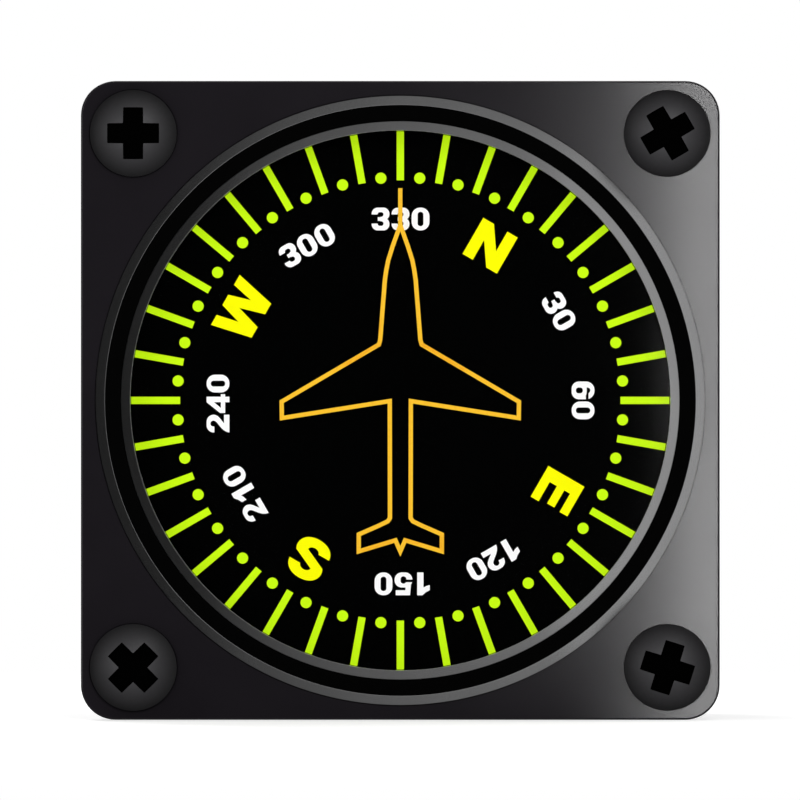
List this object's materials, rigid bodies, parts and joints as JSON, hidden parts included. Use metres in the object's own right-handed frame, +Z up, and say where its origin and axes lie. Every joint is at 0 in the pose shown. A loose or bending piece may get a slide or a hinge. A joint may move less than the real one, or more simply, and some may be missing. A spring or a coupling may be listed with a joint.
{
  "type": "aircraft compass",
  "caption": "Panel-mounted vertical card magnetic compass: square flange, round glass, turning degree card behind a fixed airplane outline, barrel case and rear trim adjusters.",
  "frame": {"origin": "on the dial axis, in the plane of the flange's back face, where it meets the panel", "axes": "-Y out of the dial towards the pilot, +Y along the barrel, +X to the pilot's right, +Z up"},
  "size_m": [0.0826, 0.0717, 0.0826],
  "materials": {
    "bezel_satin": "satin black paint",
    "ring_satin": "satin grey paint",
    "black_rubber": "matt black",
    "clear_glass": "clear, coated",
    "amber_ink": "printed amber",
    "black_steel": "black oxide",
    "case_black": "fine textured black paint",
    "bright_steel": "turned",
    "plate_aluminium": "machined",
    "turned_brass": "turned",
    "cup_copper": "turned copper",
    "ruby": "polished",
    "magnet_alloy": "ground",
    "card_black": "matt black paint",
    "lume_lime": "printed lime",
    "numeral_white": "printed white",
    "letter_yellow": "printed yellow"
  },
  "bodies": {
    "case": {"bezel_plate": "bezel_satin", "clamp_ring": "ring_satin", "ring_inlay": "black_rubber", "glass_seal": "black_rubber", "front_glass": "clear_glass", "airplane_symbol": "amber_ink", "panel_screws": "black_steel", "case_tube": "case_black", "tube_screws": "black_steel", "tube_o_ring": "black_rubber", "back_cover": "case_black", "back_gasket": "black_rubber", "back_screws": "bright_steel", "movement_plate": "plate_aluminium", "plate_screws": "bright_steel", "bearing_sleeve": "turned_brass", "card_jewels": "ruby", "magnet_yoke": "plate_aluminium", "yoke_screws": "bright_steel", "damping_cup": "cup_copper", "cup_screws": "bright_steel", "jewel_screws": "turned_brass", "pivot_jewels": "ruby", "jewel_locknuts": "bright_steel", "compensator_bracket": "turned_brass", "bracket_screws": "bright_steel", "adjuster_bushes": "turned_brass", "adjuster_seals": "black_rubber"},
    "magnet_rotor": {"rotor_shaft": "bright_steel", "rotor_gear": "turned_brass", "rotor_magnet": "magnet_alloy", "magnet_hub": "plate_aluminium", "magnet_nut": "bright_steel"},
    "card_rotor": {"compass_card": "card_black", "degree_bars": "lume_lime", "degree_dots": "lume_lime", "card_numerals": "numeral_white", "cardinal_letters": "letter_yellow", "card_hub": "turned_brass", "card_shaft": "bright_steel", "card_gear": "turned_brass"},
    "ns_trimmer": {"ns_spindle": "turned_brass", "ns_magnet": "magnet_alloy", "ns_clip": "bright_steel"},
    "ew_input": {"ew_adjuster": "turned_brass", "ew_drive_gear": "turned_brass", "ew_clips": "bright_steel"},
    "ew_trimmer": {"ew_cross_spindle": "bright_steel", "ew_cross_gear": "turned_brass", "ew_magnet": "magnet_alloy"}
  },
  "joints": [
    {"name": "rotor_spin", "type": "hinge", "parent": "case", "child": "magnet_rotor", "pos_m": [0, 0.026, 0], "axis": [0, 0, 1], "continuous": true},
    {"name": "card_spin", "type": "hinge", "parent": "case", "child": "card_rotor", "pos_m": [0, 0, 0], "axis": [0, -1, 0], "continuous": true},
    {"name": "ns_trim", "type": "hinge", "parent": "case", "child": "ns_trimmer", "pos_m": [-0.01247, 0.05329, -0.01588], "axis": [0, 1, 0], "range_deg": [-90, 90]},
    {"name": "ew_trim", "type": "hinge", "parent": "case", "child": "ew_input", "pos_m": [0.01247, 0.05329, -0.01588], "axis": [0, 1, 0], "range_deg": [-90, 90]},
    {"name": "ew_cross", "type": "hinge", "parent": "case", "child": "ew_trimmer", "pos_m": [0, 0.05329, -0.01588], "axis": [1, 0, 0], "range_deg": [-90, 90]}
  ],
  "couplings": [
    {"joint": "card_spin", "follows": "rotor_spin", "ratio": 1},
    {"joint": "ew_cross", "follows": "ew_trim", "ratio": 1}
  ]
}
